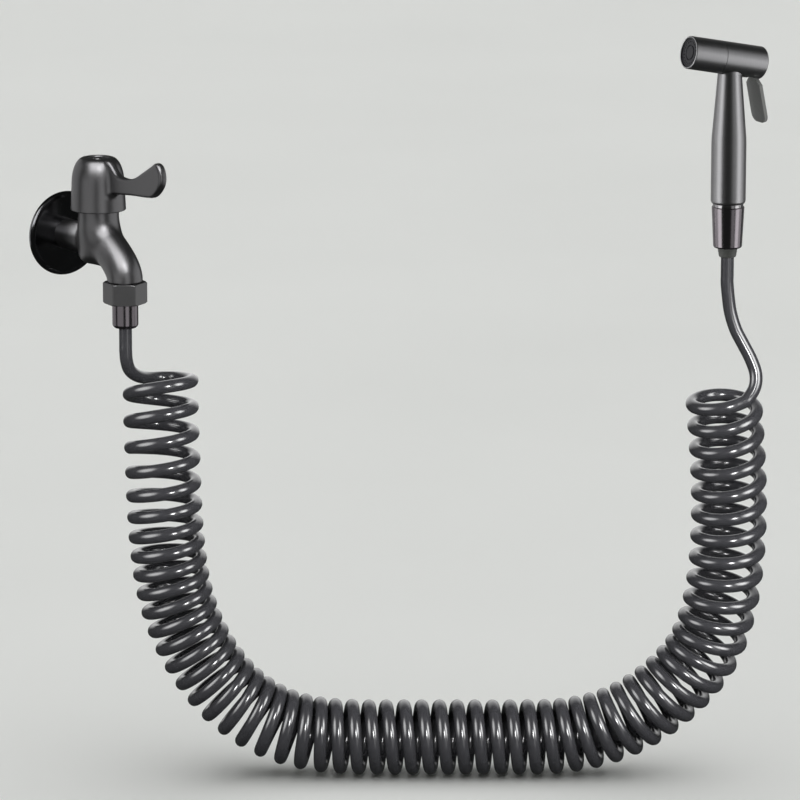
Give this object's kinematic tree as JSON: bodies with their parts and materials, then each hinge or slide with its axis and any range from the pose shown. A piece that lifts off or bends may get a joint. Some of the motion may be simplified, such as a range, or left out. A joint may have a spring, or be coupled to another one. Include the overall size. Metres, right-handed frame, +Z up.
{
  "type": "handheld bath sprayer",
  "caption": "Trigger bath sprayer with a T-shaped head on a coiled hose that hangs from a lever-handled wall tap, for washing pets.",
  "frame": {"origin": "centre of the tap's inlet where it meets the wall", "axes": "+Z up, +Y into the wall along the inlet thread, +X to the side the hose hangs towards"},
  "size_m": [0.4081, 0.4063, 0.5593],
  "materials": {
    "gunmetal": "satin gun-metal coating on brass",
    "black_gunmetal": "polished dark gun-metal coating",
    "brushed_gunmetal": "fine brushing along the tube under a gun-metal coating",
    "matt_gunmetal": "matt gun-metal coating",
    "steel": "bright stainless steel",
    "brass": "turned brass",
    "rubber": "moulded rubber",
    "hose": "glossy translucent polyurethane",
    "ceramic": "lapped alumina",
    "black_plastic": "moulded black plastic"
  },
  "bodies": {
    "tap": {"tap_body": "gunmetal", "wall_flange": "black_gunmetal", "cartridge_body": "brass", "cartridge_gasket": "rubber", "cartridge_o_ring": "rubber", "fixed_disc": "ceramic", "spindle_o_ring": "rubber", "hose_nut": "matt_gunmetal", "hose_nut_washer": "rubber", "tap_hose_tail": "brass", "tap_ferrule": "gunmetal", "hose_tap_lead": "hose", "hose_coil": "hose", "hose_sprayer_lead": "hose", "hose_collar": "matt_gunmetal", "sprayer_hose_tail": "brass", "swivel_o_ring": "rubber"},
    "handle": {"tap_handle": "gunmetal", "handle_screw": "steel", "index_cap": "gunmetal", "spindle": "brass", "moving_disc": "ceramic", "spindle_clip": "steel"},
    "sprayer": {"cone_nut": "black_gunmetal", "cone_nut_washer": "rubber", "grip_connector": "steel", "grip_tube": "brushed_gunmetal", "water_tube": "steel", "water_tube_o_rings": "rubber", "head_body": "brushed_gunmetal", "nozzle_sleeve": "brushed_gunmetal", "sleeve_o_ring": "rubber", "spray_plate": "black_plastic", "plate_gasket": "rubber", "valve_body": "brass", "valve_retainer": "brass", "valve_spring": "steel", "stem_o_ring": "rubber", "trigger_pin": "steel"},
    "trigger": {"trigger": "matt_gunmetal"},
    "valve": {"valve_stem": "steel", "valve_seal": "rubber"}
  },
  "joints": [
    {"name": "handle_turn", "type": "hinge", "parent": "tap", "child": "handle", "pos_m": [0, -0.0455, 0], "axis": [0, 0, 1], "range_deg": [0, 90]},
    {"name": "sprayer_swivel", "type": "hinge", "parent": "tap", "child": "sprayer", "pos_m": [0.33355, -0.36239, 0], "axis": [0, 0, 1], "continuous": true},
    {"name": "trigger_press", "type": "hinge", "parent": "sprayer", "child": "trigger", "pos_m": [0.34986, -0.36521, 0.1335], "axis": [0.1702, 0.9854, 0], "range_deg": [0, 12], "stiffness_Nm_per_rad": 0.5, "springref_deg": -20.05},
    {"name": "valve_slide", "type": "slide", "parent": "sprayer", "child": "valve", "axis": [0.966, -0.1669, -0.1977], "range_m": [0, 0.00174], "deforming": ["valve_spring"]}
  ],
  "couplings": [
    {"joint": "valve_slide", "follows": "trigger_press", "m_per_rad": 0.0083}
  ]
}
